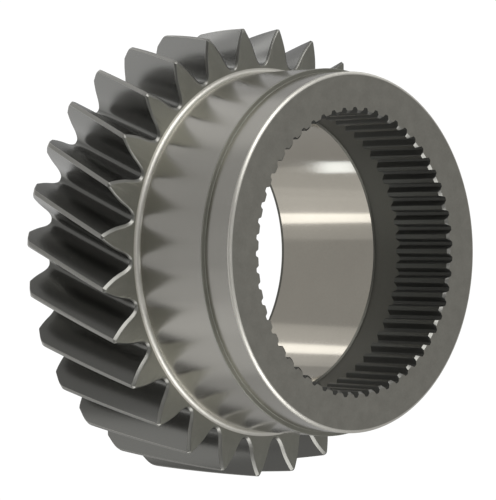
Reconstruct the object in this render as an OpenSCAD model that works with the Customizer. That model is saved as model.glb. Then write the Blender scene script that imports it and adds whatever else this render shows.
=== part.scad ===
// Helical transmission gear with a splined hub, in millimetres.
// It stands on the gear's end: +Z runs along the turning axis towards the hub's face, and the
// origin is on the axis, in the plane the gear stands on.
// Hardened steel made as one piece: blank turned, teeth hobbed, spline broached, seats ground.

/* [Gear teeth] */
// teeth around the rim
gear_teeth = 28; // [28:1:40]
// module across the tooth, square to its helix
normal_module = 3; // [3:0.05:3.6]
// pressure angle, square to the helix
pressure_angle = 20; // [16:0.5:21]
// right-hand helix angle on the pitch cylinder
helix_angle = 21; // [20:0.5:32]
// tooth height above the pitch circle, in modules
tip_height = 1.46; // [1:0.02:1.5]
// tooth depth below the pitch circle, in modules
root_depth = 1.22; // [1.1:0.01:1.25]
// height of the curved root above the floor of the space, in modules
root_curve = 0.9; // [0.5:0.05:1.1]
// width of the rim from its standing face to the hub shoulder
rim_w = 26.5; // [18:0.5:36]
// chamfer over the tooth tips at the standing face, along the radius
tip_chamfer = 2.6; // [0.5:0.1:3.5]
// length of that chamfer along the axis
tip_chamfer_len = 2.5; // [0.5:0.1:4]
// edge break round the tooth profile, on both end faces
tooth_edge = 0.5; // [0.2:0.05:0.6]

/* [Hub] */
// diameter of the ground journal
journal_d = 79; // [76:0.2:79.6]
// length of the journal from the rim to the step
journal_len = 19.3; // [14:0.1:30]
// corner radius where the journal meets the rim
journal_fillet = 1; // [0.4:0.1:1.2]
// diameter of the end band past the step
band_d = 77; // [74:0.2:78.4]
// length of the end band
band_len = 7.2; // [4:0.1:12]
// outer edge chamfer of the end band
band_chamfer = 0.5; // [0.2:0.05:1.5]
// edge break on the journal beside the step
step_edge = 0.2; // [0.1:0.05:0.3]

/* [Bore] */
// diameter of the ground bore
bore_d = 61.5; // [60:0.1:61.8]
// length of the ground bore from the standing face
bore_len = 29.9; // [20:0.1:34]
// edge chamfer of the bore at the standing face
bore_chamfer = 0.5; // [0.2:0.05:1.5]
// depth of the runout recess under the ends of the spline teeth
runout_depth = 0.2; // [0.05:0.05:1]

/* [Spline] */
// teeth in the hub
spline_teeth = 57; // [57:1:57]
// turn of the spline's first space from the first gear space at the standing face, in degrees
spline_turn = 0.7; // [0:0.1:6]
// module of the spline
spline_module = 1.06; // [1.05:0.005:1.08]
// pressure angle of the spline
spline_pressure_angle = 30; // [25:0.5:35]
// tooth height inside the pitch circle, in modules
spline_tip_height = 0.5; // [0.3:0.02:0.6]
// space depth outside the pitch circle, in modules
spline_root_depth = 0.68; // [0.5:0.02:0.8]
// length of the spline from the hub's face
spline_len = 15.5; // [10:0.1:22]
// lead-in chamfer on the spline teeth at the hub's face
spline_chamfer = 0.55; // [0.2:0.05:0.9]

/* [Hidden] */

// how finely curves are drawn
round_steps = 120;
fillet_steps = 5;
flank_steps = 3;
root_steps = 3;
helix_steps = 6;
space_steps = 3;

// overshoot of a cutter past the face it opens, and of a tooth cutter's flanks and flared ends
over = 1;
flare = 0.2;
// half the land that the flared ends of the tooth cutters leave between them
least_land = 0.1;

// half the flat that the root curves leave on the floor of a tooth space, in modules
root_flat = 0.05;

transverse_module = normal_module / cos(helix_angle);
transverse_angle = atan(tan(pressure_angle) / cos(helix_angle));
gear_pitch_r = gear_teeth * transverse_module / 2;
gear_base_r = gear_pitch_r * cos(transverse_angle);
gear_tip_r = gear_pitch_r + tip_height * normal_module;
gear_root_r = gear_pitch_r - root_depth * normal_module;
// turn of the teeth over the rim
rim_turn = atan(tan(helix_angle) * rim_w / gear_pitch_r);
gear_step = 360 / gear_teeth;

// where the flank hands over to the root curve
flank_start_r = max(gear_base_r, gear_root_r + root_curve * normal_module);
// how far out the cutter's flanks run
cutter_r = gear_tip_r + flare;

overall_len = rim_w + journal_len + band_len;

spline_pitch_r = spline_teeth * spline_module / 2;
spline_base_r = spline_pitch_r * cos(spline_pressure_angle);
spline_minor_r = spline_pitch_r - spline_tip_height * spline_module;
spline_major_r = spline_pitch_r + spline_root_depth * spline_module;
spline_step = 360 / spline_teeth;
runout_r = spline_major_r + runout_depth;
runout_len = overall_len - spline_len - bore_len;

function polar(r, a) = [r * cos(a), r * sin(a)];
function blend(a, b, t) = a + (b - a) * t;
function arc_angle(length, r) = length / r * 180 / PI;

// curve from a to c that leaves both along the lines through b
function soft_corner(a, b, c, t) = blend(blend(a, b, t), blend(b, c, t), t);

// one outline from its half above +X, the other half mirrored
function both_sides(points) = concat(
    points,
    [for (i = [len(points) - 1:-1:0]) [points[i].x, -points[i].y]]
);

function turned(points, a) = [for (p = points) [
    p.x * cos(a) - p.y * sin(a),
    p.x * sin(a) + p.y * cos(a)
]];

// involute function in degrees, at radius r outside a base circle
function involute(base, r) = let (a = acos(min(1, base / r))) tan(a) * 180 / PI - a;

// half the angle of a space between involute flanks at radius r, equal to the tooth on the pitch circle
function gear_space_half(r) =
    gear_step / 4 + involute(gear_base_r, r) - involute(gear_base_r, gear_pitch_r);
function spline_space_half(r) =
    spline_step / 4 + involute(spline_base_r, spline_pitch_r) - involute(spline_base_r, r);

// the same, cut wider by a distance: an involute moved square to itself is the involute turned
function wide_space_half(r, wider) = min(
    gear_space_half(r) + arc_angle(wider, gear_base_r),
    gear_step / 2 - arc_angle(least_land, gear_tip_r)
);

// root curve on one side of a tooth space along +X, from the flank down to the floor
function root_side(wider) =
    let (
        start_half = wide_space_half(flank_start_r, wider),
        floor_r = gear_root_r - wider,
        lean = acos(min(1, gear_base_r / flank_start_r)),
        foot = start_half - arc_angle((flank_start_r - floor_r) * tan(lean), flank_start_r)
    )
    [for (i = [1:root_steps]) soft_corner(
        polar(flank_start_r, start_half),
        polar(floor_r, foot),
        polar(floor_r, arc_angle(root_flat * normal_module, floor_r)),
        i / root_steps
    )];

function flank_side(wider) = [for (i = [flank_steps:-1:0])
    let (r = blend(flank_start_r, cutter_r, i / flank_steps))
    polar(r, wide_space_half(r, wider))
];

// outline of one tooth space along +X, open past the tips of the teeth
function space_outline(wider) =
    let (mouth_r = gear_tip_r + over)
    concat(
        [[mouth_r, 0]],
        both_sides(concat(
            [polar(mouth_r, wide_space_half(cutter_r, wider))],
            flank_side(wider),
            root_side(wider)
        ))
    );

// one section of the space at a height, turned as far as the helix has come
function space_section(wider, z, start) =
    let (turn = start + rim_turn * z / rim_w)
    [for (p = turned(space_outline(wider), turn)) [p.x, p.y, z]];

// sections up the rim: flared past the standing face, the full space, flared past the shoulder
function space_sections(start) = concat(
    [space_section(tooth_edge + flare, -flare, start)],
    [for (i = [0:helix_steps])
        let (z = blend(tooth_edge, rim_w - tooth_edge, i / helix_steps))
        space_section(0, z, start)
    ],
    [space_section(tooth_edge + flare, rim_w + flare, start)]
);

// faces of a body lofted through sections of count points each, numbered from first
function loft_faces(first, count, sections) = concat(
    [[for (i = [0:count - 1]) first + i]],
    [[for (i = [count - 1:-1:0]) first + (sections - 1) * count + i]],
    [for (s = [0:sections - 2], i = [0:count - 1])
        let (
            next = (i + 1) % count,
            low = first + s * count,
            high = low + count
        )
        each [[low + i, high + i, high + next], [low + i, high + next, low + next]]
    ]
);

// the spaces a hob leaves between the teeth, all round the rim
module tooth_spaces() {
    bodies = [for (i = [0:gear_teeth - 1]) space_sections(i * gear_step)];
    sections = len(bodies[0]);
    count = len(bodies[0][0]);
    polyhedron(
        points = [for (body = bodies) each [for (section = body) each section]],
        faces = [for (i = [0:gear_teeth - 1]) each loft_faces(i * sections * count, count, sections)],
        convexity = 10
    );
}

// rim, journal and end band, turned from one profile
module blank() {
    journal_r = journal_d / 2;
    band_r = band_d / 2;
    step_z = rim_w + journal_len;
    fillet = [for (i = [0:fillet_steps])
        let (a = 90 * i / fillet_steps)
        [journal_r + journal_fillet * (1 - sin(a)), rim_w + journal_fillet * (1 - cos(a))]
    ];
    profile = concat(
        [
            [0, 0],
            [gear_tip_r - tip_chamfer, 0],
            [gear_tip_r, tip_chamfer_len],
            [gear_tip_r, rim_w - tooth_edge],
            [gear_tip_r - tooth_edge, rim_w]
        ],
        fillet,
        [
            [journal_r, step_z - step_edge],
            [journal_r - step_edge, step_z],
            [band_r, step_z],
            [band_r, overall_len - band_chamfer],
            [band_r - band_chamfer, overall_len],
            [0, overall_len]
        ]
    );
    rotate_extrude($fn = round_steps) polygon(profile);
}

// ground bore with its chamfer at the standing face
module bore_cut() {
    bore_r = bore_d / 2;
    translate([0, 0, -over]) cylinder(r = bore_r, h = bore_len + 2 * over, $fn = round_steps);
    translate([0, 0, -over]) cylinder(
        r1 = bore_r + bore_chamfer + over,
        r2 = bore_r,
        h = bore_chamfer + over,
        $fn = round_steps
    );
}

// recess between bore and spline where the broaching tool runs out
module runout_cut() {
    translate([0, 0, bore_len]) cylinder(r = runout_r, h = runout_len, $fn = round_steps);
}

// opening inside the spline teeth and all the spaces between them, ending halfway down the recess
module spline_cut() {
    side = [for (i = [0:space_steps])
        let (r = blend(spline_minor_r, spline_major_r, i / space_steps))
        polar(r, -spline_space_half(r))
    ];
    outline = [for (i = [0:spline_teeth - 1]) each turned(both_sides(side), i * spline_step)];
    depth = spline_len + runout_len / 2;
    translate([0, 0, overall_len - depth]) rotate(spline_turn)
        linear_extrude(depth + over, convexity = 10) polygon(outline);
    translate([0, 0, overall_len - spline_chamfer]) cylinder(
        r1 = spline_minor_r,
        r2 = spline_minor_r + spline_chamfer + over,
        h = spline_chamfer + over,
        $fn = round_steps
    );
}

module transmission_gear() {
    color("silver") difference() {
        blank();
        tooth_spaces();
        bore_cut();
        runout_cut();
        spline_cut();
    }
}

transmission_gear();
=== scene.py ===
import math

import bmesh
import bpy
from mathutils import Matrix, Vector


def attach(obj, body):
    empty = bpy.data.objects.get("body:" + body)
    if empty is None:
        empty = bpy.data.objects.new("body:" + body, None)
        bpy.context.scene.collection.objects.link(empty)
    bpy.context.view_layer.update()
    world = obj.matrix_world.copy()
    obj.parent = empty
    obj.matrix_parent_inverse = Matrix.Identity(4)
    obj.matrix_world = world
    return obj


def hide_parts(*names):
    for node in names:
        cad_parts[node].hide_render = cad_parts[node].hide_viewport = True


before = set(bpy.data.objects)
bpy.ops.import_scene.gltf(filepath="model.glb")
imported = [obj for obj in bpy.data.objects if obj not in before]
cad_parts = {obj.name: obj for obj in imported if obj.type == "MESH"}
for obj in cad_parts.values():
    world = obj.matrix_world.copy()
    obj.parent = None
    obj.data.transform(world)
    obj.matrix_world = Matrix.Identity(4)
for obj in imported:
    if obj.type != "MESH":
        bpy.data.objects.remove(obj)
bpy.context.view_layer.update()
mm = 0.001

# Camera
# The gear is seen from the front left of its hub, its axis lying level in the picture and turned
# half a right angle aside, as on a photographer's table with a long lens.
focal_length = 180
axis_turn = math.radians(45.105)
axis_rise = math.radians(-0.127)
gear_turn = math.radians(2.93)
hub_face_z = 53 * mm
hub_face_in_view = Vector((23.47, -0.51, -531.96)) * mm

axis_in_view = Vector((
    math.sin(axis_turn) * math.cos(axis_rise),
    math.sin(axis_rise),
    math.cos(axis_turn) * math.cos(axis_rise),
))
right_in_view = Vector((0, 1, 0)).cross(axis_in_view).normalized()
up_in_view = axis_in_view.cross(right_in_view)
x_in_view = right_in_view * math.cos(gear_turn) + up_in_view * math.sin(gear_turn)
y_in_view = axis_in_view.cross(x_in_view)
gear_in_view = Matrix((x_in_view, y_in_view, axis_in_view)).transposed().to_4x4()
gear_in_view.translation = hub_face_in_view - axis_in_view * hub_face_z

camera = bpy.data.objects.new("camera", bpy.data.cameras.new("camera"))
camera.data.lens = focal_length
camera.data.clip_start = 0.01
camera.data.clip_end = 10
camera.matrix_world = gear_in_view.inverted()
bpy.context.scene.collection.objects.link(camera)
bpy.context.scene.camera = camera
bpy.context.scene.view_settings.view_transform = "Standard"

# Toothed rim
# Twenty-eight helical teeth of hardened steel, hobbed from the turned blank and then shaved, with
# broken edges at both ends and a larger chamfer over the tips at the end that the gear stands on.
gear_teeth = 28
normal_module = 3 * mm
helix = math.radians(21)
pressure_angle = math.radians(20)
rim_width = 26.5 * mm
tip_height = 4.37 * mm
root_depth = 1.22 * normal_module
root_curve = 0.9 * normal_module
root_flat = 0.05 * normal_module
edge_break = 0.5 * mm
tip_chamfer = 2.6 * mm
tip_chamfer_length = 2.5 * mm
tip_chamfer_ease = 0.9 * mm
tip_corner = 0.16 * mm
tip_corner_loss = 0.28
land_steps = 2
corner_steps = 3
flank_steps = 11
root_steps = 9

transverse_angle = math.atan(math.tan(pressure_angle) / math.cos(helix))
gear_pitch_r = gear_teeth * normal_module / math.cos(helix) / 2
gear_base_r = gear_pitch_r * math.cos(transverse_angle)
gear_tip_r = gear_pitch_r + tip_height
gear_root_r = gear_pitch_r - root_depth
gear_lead = math.tan(helix) / gear_pitch_r
gear_step = 2 * math.pi / gear_teeth


def polar(r, angle, z=0.0):
    return Vector((r * math.cos(angle), r * math.sin(angle), z))


def blend(a, b, t):
    return a + (b - a) * t


def soft_corner(a, b, c, steps):
    """Points after a on the curve from a to c that leaves both along the lines through b."""
    shares = [i / steps for i in range(1, steps + 1)]
    return [blend(blend(a, b, share), blend(b, c, share), share) for share in shares]


def involute(base_r, r):
    """How far an involute has turned from its base circle at radius r."""
    lean = math.acos(min(1, base_r / r))
    return math.tan(lean) - lean


def tooth_outline(inset, tip_r, z):
    """Half a tooth at height z, cut back by inset, from its tip's middle to the space's middle."""
    def half_tooth(r):
        turn = involute(gear_base_r, r) - involute(gear_base_r, gear_pitch_r)
        return gear_step / 4 - turn - inset / gear_base_r

    tip_r = tip_r - inset
    floor_r = gear_root_r - inset
    start_r = gear_root_r + root_curve
    least_corner, least_land = 0.02 * mm, 0.01 * mm
    corner = max(tip_corner - tip_corner_loss * inset, least_corner)
    land_end = max(half_tooth(tip_r) - corner / tip_r, least_land / tip_r)
    land = [polar(tip_r, land_end * i / land_steps, z) for i in range(land_steps + 1)]
    flank_r = [blend(tip_r - corner, start_r, i / flank_steps) for i in range(flank_steps + 1)]
    flank = [polar(r, half_tooth(r), z) for r in flank_r]
    edge = soft_corner(land[-1], polar(tip_r, half_tooth(tip_r), z), flank[0], corner_steps)
    lean = math.acos(min(1, gear_base_r / start_r))
    foot = half_tooth(start_r) + (start_r - floor_r) * math.tan(lean) / start_r
    reach = gear_step / 2 - root_flat / floor_r
    root = soft_corner(flank[-1], polar(floor_r, foot, z), polar(floor_r, reach, z), root_steps)
    return land + edge + flank[1:] + root + [polar(floor_r, gear_step / 2, z)]


def whole_pitch(half):
    """The mirrored half of an outline and the outline itself, in order of angle."""
    other = [Vector((p.x, -p.y, p.z)) for p in reversed(half[1:])]
    return other + half


def bevelled_end(start, towards, size):
    """Heights and insets of a bevel with eased corners at one end of the rim."""
    half = [(0, 1), (0.03, 0.93), (0.1, 0.84), (0.3, 0.62)]
    shares = half + [(inwards, along) for along, inwards in reversed(half)]
    return [(start + towards * size * along, size * inwards) for along, inwards in shares]


def chamfered_tip(z):
    """Tip radius at a height, with the corner at the top of the chamfer eased."""
    drop = max(0, tip_chamfer_length - z)
    if abs(tip_chamfer_length - z) < tip_chamfer_ease:
        drop = (tip_chamfer_length + tip_chamfer_ease - z) ** 2 / (4 * tip_chamfer_ease)
    return gear_tip_r - drop * tip_chamfer / tip_chamfer_length


def tooth_rows(levels):
    return [whole_pitch(tooth_outline(inset, chamfered_tip(z), z)) for z, inset in levels]


standing_bevel = bevelled_end(0, 1, edge_break)
shoulder_bevel = list(reversed(bevelled_end(rim_width, -1, edge_break)))
near_chamfer = (-2, -1, -0.5, 0, 0.5, 1)
rim_levels = [(tip_chamfer_length + tip_chamfer_ease * share, 0) for share in near_chamfer]
rim_steps = 12
full_low, full_high = tip_chamfer_length, rim_width - edge_break
rim_levels += [(blend(full_low, full_high, i / rim_steps), 0) for i in range(1, rim_steps)]
rim_rows = tooth_rows([standing_bevel[-1]] + rim_levels + [shoulder_bevel[0]])


def sector_mesh(name, rows):
    """A sheet of four-sided faces between rows of points."""
    across = len(rows[0])
    points = [p for row in rows for p in row]
    faces = []
    for row in range(len(rows) - 1):
        for column in range(across - 1):
            low = row * across + column
            faces.append((low, low + 1, low + across + 1, low + across))
    mesh = bpy.data.meshes.new(name)
    mesh.from_pydata(points, [], faces)
    sector = bpy.data.objects.new(name, mesh)
    bpy.context.scene.collection.objects.link(sector)
    return sector


class Value:
    """A socket in a node tree. Arithmetic on it adds the Math nodes."""

    def __init__(self, tree, socket):
        self.tree = tree
        self.socket = socket

    def math(self, operation, *others):
        values = dict(enumerate((self, *others)))
        return node(self.tree, "ShaderNodeMath", {"operation": operation}, values)

    def __add__(self, other):
        return self.math("ADD", other)

    __radd__ = __add__

    def __rsub__(self, other):
        return node(self.tree, "ShaderNodeMath", {"operation": "SUBTRACT"}, {0: other, 1: self})

    def __mul__(self, other):
        return self.math("MULTIPLY", other)

    __rmul__ = __mul__

    def __truediv__(self, other):
        return self.math("DIVIDE", other)


def node(tree, kind, settings, values, out=0):
    """Adds a node with its settings, then its inputs by place or name, and returns one output."""
    made = tree.nodes.new(kind)
    for key, value in settings.items():
        setattr(made, key, value)
    for key, value in values.items():
        if isinstance(value, Value):
            tree.links.new(value.socket, made.inputs[key])
        else:
            made.inputs[key].default_value = value
    return Value(tree, made.outputs[out])


def pattern_tree():
    """Geometry nodes: twist a sector by its lead, repeat it round the axis and weld the copies."""
    tree = bpy.data.node_groups.new("pattern_round_axis", "GeometryNodeTree")
    sockets = (
        ("Sector", "INPUT", "NodeSocketGeometry"),
        ("Copies", "INPUT", "NodeSocketInt"),
        ("Twist per metre", "INPUT", "NodeSocketFloat"),
        ("First angle", "INPUT", "NodeSocketFloat"),
        ("Weld distance", "INPUT", "NodeSocketFloat"),
        ("Finish", "INPUT", "NodeSocketMaterial"),
        ("Ring", "OUTPUT", "NodeSocketGeometry"),
    )
    for label, direction, kind in sockets:
        tree.interface.new_socket(label, in_out=direction, socket_type=kind)
    entry = tree.nodes.new("NodeGroupInput")
    sector, copies, twist, first, weld, finish = (Value(tree, s) for s in entry.outputs[:6])
    place = node(tree, "GeometryNodeInputPosition", {}, {})
    height = node(tree, "ShaderNodeSeparateXYZ", {}, {"Vector": place}, out="Z")
    turn = {"Vector": place, "Angle": height * twist + first}
    turned = node(tree, "ShaderNodeVectorRotate", {"rotation_type": "Z_AXIS"}, turn)
    twisted = node(tree, "GeometryNodeSetPosition", {}, {0: sector, "Position": turned})
    stations = node(tree, "GeometryNodeMeshLine", {}, {"Count": copies, "Offset": (0, 0, 0)})
    angle = node(tree, "GeometryNodeInputIndex", {}, {}) * (2 * math.pi) / copies
    rotation = node(tree, "ShaderNodeCombineXYZ", {}, {"Z": angle})
    copied = {0: stations, "Instance": twisted, "Rotation": rotation}
    ring = node(tree, "GeometryNodeInstanceOnPoints", {}, copied)
    solid = node(tree, "GeometryNodeRealizeInstances", {}, {0: ring})
    welded = node(tree, "GeometryNodeMergeByDistance", {}, {0: solid, "Distance": weld})
    smooth = node(tree, "GeometryNodeSetShadeSmooth", {}, {0: welded})
    finished = node(tree, "GeometryNodeSetMaterial", {}, {0: smooth, "Material": finish})
    tree.links.new(finished.socket, tree.nodes.new("NodeGroupOutput").inputs[0])
    return tree


round_axis = pattern_tree()


def ring_of(sector, copies, finish, twist=0.0, first=0.0):
    """The sector repeated round the axis by the geometry nodes, as a plain mesh."""
    pattern = sector.modifiers.new("pattern", "NODES")
    pattern.node_group = round_axis
    names = {s.name: s.identifier for s in round_axis.interface.items_tree if s.in_out == "INPUT"}
    pattern[names["Copies"]] = copies
    pattern[names["Twist per metre"]] = twist
    pattern[names["First angle"]] = first
    pattern[names["Weld distance"]] = 0.002 * mm
    pattern[names["Finish"]] = finish
    shown = sector.evaluated_get(bpy.context.evaluated_depsgraph_get())
    mesh = bpy.data.meshes.new_from_object(shown)
    bpy.data.objects.remove(sector)
    return mesh


def steel(name, darker, lighter, smoothest, roughest, along_axis=0.0, patch_scale=60):
    """Bare steel: tone and roughness drift between two values over patches and a fine grain."""
    patch_share = 0.65
    material = bpy.data.materials.new(name)
    material.use_nodes = True
    tree = material.node_tree
    shader = tree.nodes["Principled BSDF"]
    shader.inputs["Metallic"].default_value = 1
    shader.inputs["Anisotropic"].default_value = along_axis
    shader.inputs["Anisotropic Rotation"].default_value = 0.25
    place = node(tree, "ShaderNodeTexCoord", {}, {}, out="Object")
    patch_values = {"Vector": place, "Scale": patch_scale, "Detail": 5}
    patches = node(tree, "ShaderNodeTexNoise", {}, patch_values)
    grain = node(tree, "ShaderNodeTexNoise", {}, {"Vector": place, "Scale": 2200, "Detail": 3})
    amount = patches * patch_share + grain * (1 - patch_share)
    tone = {"Factor": amount, "A": (*darker, 1), "B": (*lighter, 1)}
    colour = node(tree, "ShaderNodeMix", {"data_type": "RGBA"}, tone, out="Result")
    tree.links.new(colour.socket, shader.inputs["Base Color"])
    tree.links.new((smoothest + amount * (roughest - smoothest)).socket, shader.inputs["Roughness"])
    return material, place, grain


def add_bump(material, height, depth):
    """Gives the finish a relief: height from 0 to 1 over depth in metres."""
    tree = material.node_tree
    relief = node(tree, "ShaderNodeBump", {}, {"Height": height, "Distance": depth, "Strength": 1})
    tree.links.new(relief.socket, tree.nodes["Principled BSDF"].inputs["Normal"])


def polar_place(place):
    """Radius, angle and height of a point on the gear."""
    tree = place.tree
    parts = {"Vector": place}
    x, y, z = (node(tree, "ShaderNodeSeparateXYZ", {}, parts, out=axis) for axis in "XYZ")
    radius = (x * x + y * y).math("SQRT")
    return radius, y.math("ARCTAN2", x), z


def flank_finish():
    """Hobbed and shaved flanks, dark from hardening, with faint marks along the tooth."""
    darker, lighter = (0.172, 0.171, 0.16), (0.198, 0.197, 0.185)
    material, place, _ = steel("hardened_flanks", darker, lighter, 0.26, 0.28)
    radius, _, z = polar_place(place)
    along = node(place.tree, "ShaderNodeCombineXYZ", {}, {"X": radius * 1800, "Y": z * 120})
    marks = node(place.tree, "ShaderNodeTexNoise", {}, {"Vector": along, "Scale": 1, "Detail": 2})
    add_bump(material, marks, 0.0012 * mm)
    return material


def grained_finish(name, darker, lighter, smoothest, roughest, depth):
    """A finish with no tool marks to see, only the steel's grain."""
    material, _, grain = steel(name, darker, lighter, smoothest, roughest)
    add_bump(material, grain, depth)
    return material


def ring_of_teeth(rows, finish):
    return ring_of(sector_mesh("tooth", rows), gear_teeth, finish, gear_lead, gear_step / 2)


flanks = flank_finish()
# What is left of the turned outside diameter on the tips of the teeth
lands = grained_finish(
    "turned_lands", (0.3, 0.295, 0.275), (0.42, 0.413, 0.385), 0.34, 0.46, 0.002 * mm
)
# The edges round the teeth's ends, broken with a file after hobbing
filed = grained_finish(
    "filed_edges", (0.2, 0.198, 0.182), (0.28, 0.277, 0.255), 0.3, 0.4, 0.002 * mm
)
tip_middle = len(rim_rows[0]) // 2
land_columns = 5
land_start, land_end = tip_middle - land_columns, tip_middle + land_columns
rings = [
    ring_of_teeth(tooth_rows(standing_bevel), filed),
    ring_of_teeth([row[:land_start + 1] for row in rim_rows], flanks),
    ring_of_teeth([row[land_start:land_end + 1] for row in rim_rows], lands),
    ring_of_teeth([row[land_end:] for row in rim_rows], flanks),
    ring_of_teeth(tooth_rows(shoulder_bevel), filed),
]

# Hub
# The long hub is turned with the rim from one blank. Its journal and the end band, a hair smaller
# past a fine step, are ground; a fillet joins the journal to the rim.
hub_segments = 336
journal_r = 39.5 * mm
journal_length = 19.3 * mm
journal_end = rim_width + journal_length
fillet = 1 * mm
band_r = 38.5 * mm
step_edge = 0.2 * mm
step_corner = 0.15 * mm
band_chamfer = 0.5 * mm
band_chamfer_ease = 0.2 * mm
fillet_steps = 8
step_edge_steps = 4
journal_rows, band_rows = 4, 3


def arc(centre_r, centre_z, size, start, end, steps):
    """Points of a turned profile on an arc, angles in degrees from outwards."""
    angles = [math.radians(blend(start, end, i / steps)) for i in range(steps + 1)]
    return [(centre_r + size * math.cos(a), centre_z + size * math.sin(a)) for a in angles]


def turned_rows(profile, segments):
    """The first and last line of a narrow turned sector, as rows along the profile."""
    step = 2 * math.pi / segments
    return [[polar(r, 0, z), polar(r, step, z)] for r, z in profile]


def ring_turned(profile, finish):
    return ring_of(sector_mesh("turned", turned_rows(profile, hub_segments)), hub_segments, finish)


fillet_profile = arc(
    journal_r + fillet, rim_width + fillet, fillet, 270, 180, fillet_steps
)
step_profile = arc(
    journal_r - step_edge, journal_end - step_edge, step_edge, 0, 90, step_edge_steps
)
step_profile += arc(
    band_r + step_corner, journal_end + step_corner, step_corner, 270, 180, corner_steps
)


def rounded_chamfer(low, high, before, after, size):
    """The two ends of a chamfer, each eased over size into the lines before and after it."""
    ends = []
    for corner, back, on in ((low, before, high), (high, low, after)):
        a = Vector(corner) + (Vector(back) - Vector(corner)).normalized() * size
        c = Vector(corner) + (Vector(on) - Vector(corner)).normalized() * size
        ends += [tuple(a)] + [tuple(p) for p in soft_corner(a, Vector(corner), c, corner_steps)]
    return ends


chamfer_profile = rounded_chamfer(
    (band_r, hub_face_z - band_chamfer),
    (band_r - band_chamfer, hub_face_z),
    (band_r, journal_end),
    (0, hub_face_z),
    band_chamfer_ease,
)


def straight(profile_before, profile_after, steps):
    """The straight line between two profiles, with a point at each of its steps."""
    start, end = Vector(profile_before[-1]), Vector(profile_after[0])
    return [tuple(blend(start, end, i / steps)) for i in range(steps + 1)]


def ground_finish(name, darker, lighter, smoothest, roughest, along_axis):
    """Cylindrical grinding: fine lines run round the axis, some deeper than others."""
    material, place, _ = steel(name, darker, lighter, smoothest, roughest, along_axis)
    _, angle, z = polar_place(place)
    lines = node(place.tree, "ShaderNodeCombineXYZ", {}, {"X": angle * 5, "Y": z * 9000})
    scratch_values = {"Vector": lines, "Scale": 1, "Detail": 3}
    scratches = node(place.tree, "ShaderNodeTexNoise", {}, scratch_values)
    add_bump(material, scratches, 0.0015 * mm)
    return material


def turned_finish(name, darker, lighter, smoothest, roughest):
    """Face turning: fine rings about the axis from the tool's feed, mottled by handling."""
    feed = 0.12 * mm
    material, place, grain = steel(name, darker, lighter, smoothest, roughest, patch_scale=320)
    radius, angle, _ = polar_place(place)
    grooves = (radius * (2 * math.pi / feed)).math("SINE")
    drift = node(place.tree, "ShaderNodeCombineXYZ", {}, {"X": radius * 7000, "Y": angle * 2})
    uneven = node(place.tree, "ShaderNodeTexNoise", {}, {"Vector": drift, "Scale": 1, "Detail": 2})
    add_bump(material, grooves * 0.2 + uneven * 0.6 + grain * 0.4, 0.004 * mm)
    return material


# The fillet and the end band's chamfer: their bright colour is a painted highlight along these
# edges
painted_highlight, _, _ = steel("painted_highlight_edges", (0.58, 0.565, 0.515), (0.76, 0.74, 0.68), 0.4, 0.52)
journal_finish = ground_finish(
    "ground_journal", (0.42, 0.407, 0.372), (0.54, 0.524, 0.48), 0.14, 0.24, 0.85
)
shoulder_finish = turned_finish(
    "turned_shoulder", (0.22, 0.219, 0.19), (0.32, 0.318, 0.28), 0.5, 0.62
)
rings += [
    ring_turned(fillet_profile, painted_highlight),
    ring_turned(straight(fillet_profile, step_profile, journal_rows), journal_finish),
    ring_turned(step_profile, shoulder_finish),
    ring_turned(straight(step_profile, chamfer_profile, band_rows), journal_finish),
    ring_turned(chamfer_profile, painted_highlight),
]

# Bore
# The bore is ground after hardening. The shallow recess where the broach runs out, behind the
# spline, stays as dark as it left the furnace. The same dark colour on the chamfer at the gear's
# end and on a narrow band of wall above it is painted shade along the bore's opening.
bore_r = 30.75 * mm
bore_length = 29.9 * mm
bore_chamfer = 0.5 * mm
bore_chamfer_ease = 0.35 * mm
# Length of bore wall above the chamfer that is coloured dark as painted shade
painted_shade_band = 0.7 * mm
recess_slope = 0.3 * mm
recess_corner = 0.05 * mm
recess_r = 31.13 * mm
bore_rows = 4
spline_length = 15.5 * mm
spline_end = hub_face_z - spline_length

bore_edge_profile = rounded_chamfer(
    (bore_r + bore_chamfer, 0),
    (bore_r, bore_chamfer),
    (gear_root_r, 0),
    (bore_r, bore_length),
    bore_chamfer_ease,
)
bore_edge_profile.append((bore_r, bore_chamfer + painted_shade_band))
recess_profile = [
    (bore_r, bore_length - recess_slope),
    (bore_r + recess_slope, bore_length),
    (recess_r, bore_length + recess_corner),
    (recess_r, blend(bore_length, spline_end, 0.5)),
    (recess_r, spline_end),
]
# Dark furnace colour: the recess's and the spline end's own, but painted shade on the bore's
# chamfer and the band above it
furnace_dark_and_painted_shade = grained_finish(
    "hardened_recess_and_painted_shade", (0.1, 0.1, 0.087), (0.18, 0.177, 0.154), 0.42, 0.6, 0.006 * mm
)
bore_finish = ground_finish(
    "ground_bore", (0.42, 0.393, 0.34), (0.54, 0.507, 0.44), 0.08, 0.12, 0.2
)
rings += [
    ring_turned(bore_edge_profile, furnace_dark_and_painted_shade),
    ring_turned(straight(bore_edge_profile, recess_profile, bore_rows), bore_finish),
    ring_turned(recess_profile, furnace_dark_and_painted_shade),
]

# Internal spline
# Fifty-seven fine involute teeth are broached in the hub's end before hardening. A lead-in chamfer
# is turned over their tips at the hub's face.
spline_teeth = 57
spline_module = 1.06 * mm
spline_pressure_angle = math.radians(30)
spline_tip_height = 0.5 * spline_module
spline_root_depth = 0.68 * spline_module
spline_turn = math.radians(0.7)
spline_chamfer = 0.55 * mm
spline_floor_corner = 0.16 * mm
spline_tip_ease = 0.18 * mm
spline_flank_steps = 4
spline_pitch_r = spline_teeth * spline_module / 2
spline_base_r = spline_pitch_r * math.cos(spline_pressure_angle)
spline_minor_r = spline_pitch_r - spline_tip_height
spline_major_r = spline_pitch_r + spline_root_depth
spline_step = 2 * math.pi / spline_teeth


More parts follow.
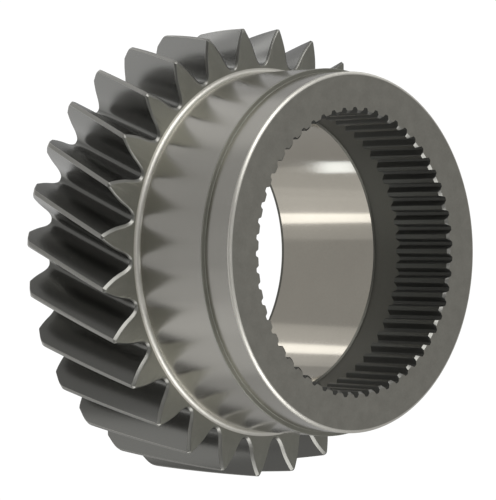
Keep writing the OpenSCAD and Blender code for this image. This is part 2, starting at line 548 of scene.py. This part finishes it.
def spline_outline(least_r, z):
    """Half a space at height z, from the middle of its floor to the middle of the next tooth."""
    def half_space(r):
        at_base = spline_step / 4 + involute(spline_base_r, spline_pitch_r)
        return at_base - involute(spline_base_r, r)

    tip_r = max(least_r, spline_minor_r)
    foot_point = polar(spline_major_r, half_space(spline_major_r), z)
    floor_end = half_space(spline_major_r) - spline_floor_corner / spline_major_r
    floor = [polar(spline_major_r, i * floor_end, z) for i in (0, 1)]
    flank_low, flank_high = spline_major_r - spline_floor_corner, tip_r + spline_tip_ease
    shares = [i / spline_flank_steps for i in range(spline_flank_steps + 1)]
    flank_r = [blend(flank_low, flank_high, share) for share in shares]
    flank = [polar(r, half_space(r), z) for r in flank_r]
    foot = soft_corner(floor[-1], foot_point, flank[0], corner_steps)
    land = polar(tip_r, half_space(tip_r) + spline_tip_ease / tip_r, z)
    edge = soft_corner(flank[-1], polar(tip_r, half_space(tip_r), z), land, corner_steps)
    return floor + foot + flank[1:] + edge + [polar(tip_r, spline_step / 2, z)]


lead_in = [0, 0.06, 0.5, 0.94, 1]
lead_in_ease = 0.06 * mm
spline_levels = [
    (spline_minor_r + spline_chamfer * (1 - share), hub_face_z - spline_chamfer * share)
    for share in lead_in
]
spline_levels += [(spline_minor_r, hub_face_z - spline_chamfer - lead_in_ease)]
inner_shares = (0.66, 0.33, 0)
spline_levels += [(spline_minor_r, blend(spline_end, hub_face_z, share)) for share in inner_shares]
spline_rows = [whole_pitch(spline_outline(least_r, z)) for least_r, z in spline_levels]


def ring_of_spline(rows, finish):
    return ring_of(sector_mesh("spline", rows), spline_teeth, finish, 0.0, spline_turn)


spline_grain = 0.004 * mm
bored = grained_finish(
    "bored_lands", (0.075, 0.077, 0.07), (0.125, 0.127, 0.116), 0.34, 0.48, spline_grain
)
chamfered = grained_finish(
    "turned_lead_in", (0.2, 0.198, 0.184), (0.28, 0.277, 0.257), 0.3, 0.4, spline_grain
)
broached = grained_finish(
    "broached_spaces", (0.09, 0.091, 0.085), (0.15, 0.151, 0.141), 0.5, 0.66, spline_grain
)
half_land = 2
rings.append(ring_of_spline([row[half_land:-half_land] for row in spline_rows], broached))
lead_in_rows, inner_rows = spline_rows[:len(lead_in) + 1], spline_rows[len(lead_in):]
for rows, finish in ((lead_in_rows, chamfered), (inner_rows, bored)):
    rings.append(ring_of_spline([row[:half_land + 1] for row in rows], finish))
    rings.append(ring_of_spline([row[-half_land - 1:] for row in rows], finish))

# Whole gear
# The rings are one forging, so they are joined into one closed surface: flat turned faces run from
# the teeth in to the fillet and the bore, and from the end band in to the spline.


def slot_of(finish):
    """The place of a finish among the gear's materials, added when it is new."""
    if finish not in finishes:
        finishes.append(finish)
    return finishes.index(finish)


def turned_face(height, parting_r, finish):
    """Fills the flat ring between the open edges inside and outside a radius, at one height."""
    def angle_of(ring, i):
        v = ring[i % len(ring)]
        return math.atan2(v.co.y, v.co.x) + 2 * math.pi * (i // len(ring))

    open_points = {v for e in work.edges if e.is_boundary for v in e.verts}
    level = [v for v in open_points if abs(v.co.z - height) < weld_distance]
    level.sort(key=lambda v: math.atan2(v.co.y, v.co.x))
    inner = [v for v in level if v.co.xy.length < parting_r]
    outer = [v for v in level if v.co.xy.length > parting_r]
    i = j = 0
    while i < len(inner) or j < len(outer):
        a, b = inner[i % len(inner)], outer[j % len(outer)]
        if j >= len(outer) or (i < len(inner) and angle_of(inner, i + 1) < angle_of(outer, j + 1)):
            third = inner[(i + 1) % len(inner)]
            i += 1
        else:
            third = outer[(j + 1) % len(outer)]
            j += 1
        face = work.faces.new((a, b, third))
        face.material_index = slot_of(finish)
        face.smooth = True


work = bmesh.new()
weld_distance = 0.001 * mm
finishes = []
for ring in rings:
    first_new = len(work.faces)
    work.from_mesh(ring)
    work.faces.ensure_lookup_table()
    finish = next(finish for finish in ring.materials if finish)
    for face in work.faces[first_new:]:
        face.material_index = slot_of(finish)
    bpy.data.meshes.remove(ring)
bmesh.ops.remove_doubles(work, verts=work.verts, dist=weld_distance)
face_finish = turned_finish(
    "turned_face", (0.23, 0.223, 0.196), (0.39, 0.379, 0.336), 0.34, 0.46
)
tooth_end_root_r = gear_root_r - edge_break
turned_face(rim_width, blend(journal_r + fillet, tooth_end_root_r, 0.5), shoulder_finish)
turned_face(0, blend(bore_r, tooth_end_root_r, 0.5), shoulder_finish)
turned_face(hub_face_z, blend(bore_r, band_r, 0.5), face_finish)
turned_face(spline_end, blend(spline_major_r, recess_r, 0.5), furnace_dark_and_painted_shade)
bmesh.ops.recalc_face_normals(work, faces=work.faces)
mesh = bpy.data.meshes.new("transmission_gear_steel")
work.to_mesh(mesh)
work.free()
for finish in finishes:
    mesh.materials.append(finish)
mesh.set_sharp_from_angle(angle=math.radians(40))

rough_gear = bpy.data.objects.new("joined", mesh)
bpy.context.scene.collection.objects.link(rough_gear)
shading = rough_gear.modifiers.new("shading", "WEIGHTED_NORMAL")
shading.mode = "FACE_AREA"
shading.keep_sharp = True
shown = rough_gear.evaluated_get(bpy.context.evaluated_depsgraph_get())
gear = bpy.data.objects.new("transmission_gear_steel", bpy.data.meshes.new_from_object(shown))
bpy.context.scene.collection.objects.link(gear)
bpy.data.objects.remove(rough_gear)
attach(gear, "root")
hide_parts("transmission_gear")

# Table and light
# A clear table in a white studio. The camera sees plain white paper, while the steel mirrors what
# stands round the set: soft lamps, strips under the table and the dark behind the camera.
table = bpy.data.objects.new("table", bpy.data.meshes.new("table"))
table_half = 3
table_top = -0.05 * mm
paper_white = 1.05
corners = ((-1, -1), (1, -1), (1, 1), (-1, 1))
table_points = [(x * table_half, y * table_half, table_top) for x, y in corners]
table.data.from_pydata(table_points, [], [(0, 1, 2, 3)])
bpy.context.scene.collection.objects.link(table)
table_white = bpy.data.materials.new("table_white")
table_white.use_nodes = True
table_tree = table_white.node_tree
table_tree.nodes.clear()
seen_from_below = node(table_tree, "ShaderNodeNewGeometry", {}, {}, out="Backfacing")
seen_by_camera = node(table_tree, "ShaderNodeLightPath", {}, {}, out="Is Camera Ray")
glow = {"Color": (1, 1, 1, 1), "Strength": paper_white}
paper_parts = {
    0: seen_by_camera * (1 - seen_from_below),
    1: node(table_tree, "ShaderNodeBsdfTransparent", {}, {}),
    2: node(table_tree, "ShaderNodeEmission", {}, glow),
}
paper = node(table_tree, "ShaderNodeMixShader", {}, paper_parts)
table_tree.links.new(paper.socket, table_tree.nodes.new("ShaderNodeOutputMaterial").inputs[0])
table.data.materials.append(table_white)

to_camera = camera.matrix_world.to_3x3() @ Vector((0, 0, 1))
near_side = Vector((to_camera.x, to_camera.y, 0)).normalized()
upper_side = camera.matrix_world.to_3x3() @ Vector((0, 1, 0))

world = bpy.data.worlds.new("studio")
world.use_nodes = True
sky = world.node_tree
room = 0.43
darkening = 0.3
towards = node(sky, "ShaderNodeTexCoord", {}, {}, out="Generated")
directions = {0: towards, 1: to_camera}
facing = node(sky, "ShaderNodeVectorMath", {"operation": "DOT_PRODUCT"}, directions, out="Value")
behind_camera = {"Value": facing, "From Min": 0.5, "From Max": 0.95, "To Max": darkening}
dark = node(sky, "ShaderNodeMapRange", {"interpolation_type": "SMOOTHSTEP"}, behind_camera)
is_camera = node(sky, "ShaderNodeLightPath", {}, {}, out="Is Camera Ray")
backdrop = {"Factor": is_camera, "A": room - dark, "B": paper_white}
brightness = node(sky, "ShaderNodeMix", {"data_type": "FLOAT"}, backdrop)
sky.links.new(brightness.socket, sky.nodes["Background"].inputs["Strength"])
sky.nodes["Background"].inputs["Color"].default_value = (1, 1, 1, 1)
bpy.context.scene.world = world


def area_lamp(name, place, aim, along, width, height, brightness, tint=(1, 1, 1)):
    """A rectangular lamp facing aim, its width along a direction, of even brightness."""
    light = bpy.data.lights.new(name, "AREA")
    light.shape = "RECTANGLE"
    light.size = width
    light.size_y = height
    light.energy = brightness * math.pi * width * height
    light.color = tint
    made = bpy.data.objects.new(name, light)
    bpy.context.scene.collection.objects.link(made)
    back = (place - aim).normalized()
    side = (along - back * along.dot(back)).normalized()
    made.matrix_world = Matrix((side, back.cross(side), back)).transposed().to_4x4()
    made.matrix_world.translation = place
    made.visible_camera = False


gear_middle = Vector((0, 0, hub_face_z / 2))


def soft_box(name, right, up, nearer, distance, width, height, brightness):
    """A soft lamp in a direction of the camera's view, its height upright in the picture."""
    direction = camera.matrix_world.to_3x3() @ Vector((right, up, nearer)).normalized()
    level = upper_side.cross(direction)
    place = gear_middle + direction * distance
    area_lamp(name, place, gear_middle, level, width, height, brightness)


# The two large lamps shape the hub, those behind and below light the flanks of the teeth, and the
# narrow one by the camera draws the bright lines on the fillet and the broken edges.
soft_box("upper_side", 0.3, 0.78, 0.55, 0.6, 0.4, 0.4, 3.1)
soft_box("lower_side", 0.3, -0.78, 0.55, 0.6, 0.4, 0.4, 2.8)
soft_box("back", 0.5, 0.707, -0.5, 0.6, 0.3, 0.3, 0.8)
soft_box("below", -0.71, 0.0, -0.706, 0.4, 0.34, 0.34, 0.46)
soft_box("low_front", -0.79, -0.15, 0.59, 0.6, 0.35, 0.5, 0.5)
soft_box("upper_back", -0.5, 0.7, -0.5, 0.6, 0.35, 0.35, 0.22)
soft_box("lower_back", -0.77, -0.59, -0.24, 0.6, 0.28, 0.32, 0.2)
soft_box("by_camera", 0.14, 0.0, 0.99, 0.6, 0.12, 0.24, 1.7)
soft_box("left_side", -0.92, -0.37, -0.13, 0.6, 0.26, 0.3, 0.1)

strip_depth = 100 * mm
strip_low, strip_high = -6 * mm, 48 * mm


def bore_strip(name, angle, low, high, width, brightness, tint=(1, 1, 1)):
    """A strip below the table that the bore's far wall mirrors, at an angle up from its middle."""
    angle = math.radians(angle)
    wall = bore_r * (upper_side * math.sin(angle) - near_side * math.cos(angle))
    away = near_side * math.cos(2 * angle) - upper_side * math.sin(2 * angle)
    slope = to_camera.xy.length / to_camera.z
    reach = [(strip_depth + z) * slope for z in (low, high)]
    middle = wall + away * (reach[0] + reach[1]) / 2 - Vector((0, 0, strip_depth))
    aim = wall + Vector((0, 0, (low + high) / 2))
    length = (reach[1] - reach[0]) * to_camera.z
    area_lamp(name, middle, aim, away, length, width, brightness, tint)


bore_strip("window", 37.5, 25 * mm, 42 * mm, 24 * mm, 1.6, (0.92, 1.0, 1.1))
bore_strip("upper_strip", 14.2, strip_low, strip_high, 15 * mm, 1.6)
bore_strip("lower_strip", -44.5, strip_low, strip_high, 20 * mm, 1.2)
for width, strength in ((24, 0.14), (36, 0.09), (50, 0.07), (70, 0.05)):
    bore_strip(f"upper_haze_{width}", 14.2, strip_low, strip_high, width * mm, strength)
    bore_strip(f"lower_haze_{width}", -43.5, strip_low, strip_high, width * mm, strength)
    bore_strip(f"top_haze_{width}", 25, strip_low, strip_high, width * mm, strength / 2)
